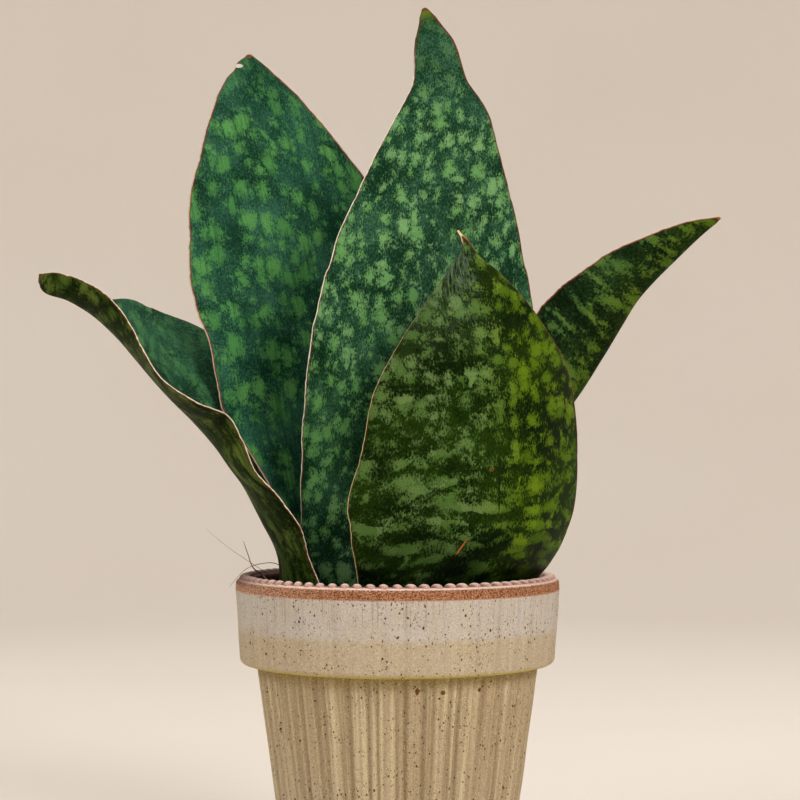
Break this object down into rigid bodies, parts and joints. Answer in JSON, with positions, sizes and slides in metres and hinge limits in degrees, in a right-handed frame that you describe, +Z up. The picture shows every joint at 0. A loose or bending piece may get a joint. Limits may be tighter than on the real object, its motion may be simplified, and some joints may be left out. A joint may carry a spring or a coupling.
{
  "type": "potted sansevieria grandis",
  "caption": "Broad-leaved sansevieria in a fluted clay pot with a plain collar and a beaded rim, standing on a flat base.",
  "frame": {"origin": "centre of the pot's flat base, on the surface that it stands on", "axes": "+Z up, +Y away from the viewer of the picture, +X to the viewer's right"},
  "size_m": [0.3854, 0.18, 0.482],
  "materials": {
    "glazed_clay": "matt cream slip with dark specks over terracotta, with the rim left bare",
    "soil": "dark brown crumbly potting mix",
    "rootstock": "pale brown fleshy rootstock, rough",
    "leaf_blue_green": "waxy blue-green leaf with paler mottling and a thin red-brown margin",
    "leaf_olive": "waxy olive-green leaf with paler mottling and a thin red-brown margin"
  },
  "bodies": {
    "root": {"pot": "glazed_clay", "soil": "soil", "rootstock": "rootstock", "leaf_centre": "leaf_blue_green", "leaf_back_left": "leaf_blue_green", "leaf_left": "leaf_olive", "leaf_front": "leaf_olive", "leaf_right": "leaf_blue_green"}
  },
  "joints": []
}
